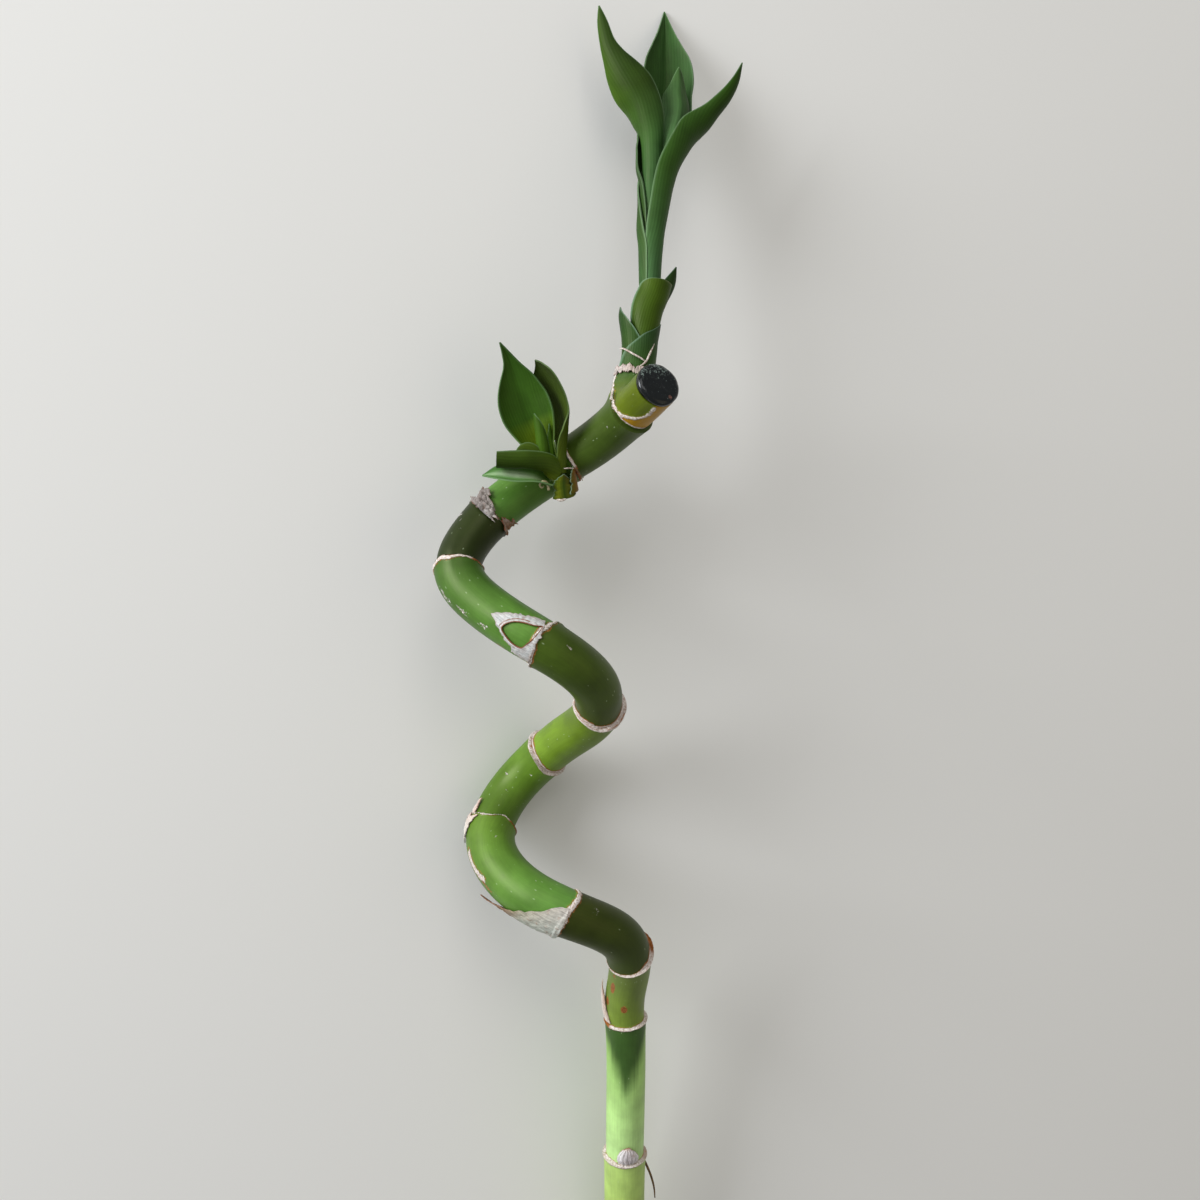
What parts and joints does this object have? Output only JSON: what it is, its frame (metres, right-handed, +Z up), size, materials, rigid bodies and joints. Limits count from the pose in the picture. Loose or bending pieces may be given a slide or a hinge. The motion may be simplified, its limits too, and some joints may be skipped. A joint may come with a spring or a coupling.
{
  "type": "lucky bamboo stem",
  "caption": "Cut spiral cane of lucky bamboo lying down, with a wax-sealed top, leafy side shoots and dry sheath remnants.",
  "frame": {"origin": "middle of the bottom of the bounding box, on the surface that the plant lies on", "axes": "+Y along the cane from its cut foot toward its shoots, +Z up from the surface, +X to the right of the cane seen from above"},
  "size_m": [0.1032, 0.4588, 0.0599],
  "materials": {
    "cane_skin": "smooth waxy green skin",
    "seal_wax": "glossy black wax",
    "shoot_green": "satin green sheath",
    "leaf_green": "satin leaf",
    "dry_sheath": "dry papery sheath"
  },
  "bodies": {
    "root": {"cane": "cane_skin", "wax_seal": "seal_wax", "upper_stem": "shoot_green", "upper_scale_right": "shoot_green", "upper_scale_left": "shoot_green", "upper_bract": "shoot_green", "upper_leaf_right": "leaf_green", "upper_leaf_back": "leaf_green", "upper_leaf_left": "leaf_green", "upper_leaf_young": "leaf_green", "lower_stem": "shoot_green", "lower_bract_right": "shoot_green", "lower_bract_front": "shoot_green", "lower_leaf_pale": "leaf_green", "lower_leaf_folded": "leaf_green", "lower_leaf_right": "leaf_green", "lower_leaf_big": "leaf_green", "lower_leaf_small": "leaf_green", "lower_leaf_young": "leaf_green", "lower_leaf_bud": "leaf_green", "dry_bud_scale": "dry_sheath", "dry_point_scale": "dry_sheath", "dry_sheath_curl": "dry_sheath", "dry_flake_left": "dry_sheath", "dry_flake_upper": "dry_sheath", "dry_flake_crumpled": "dry_sheath", "dry_flake_brown": "dry_sheath", "dry_sheath_scar": "dry_sheath", "fibre_collar": "dry_sheath", "tendril": "dry_sheath", "root_thread": "dry_sheath"}
  },
  "joints": []
}
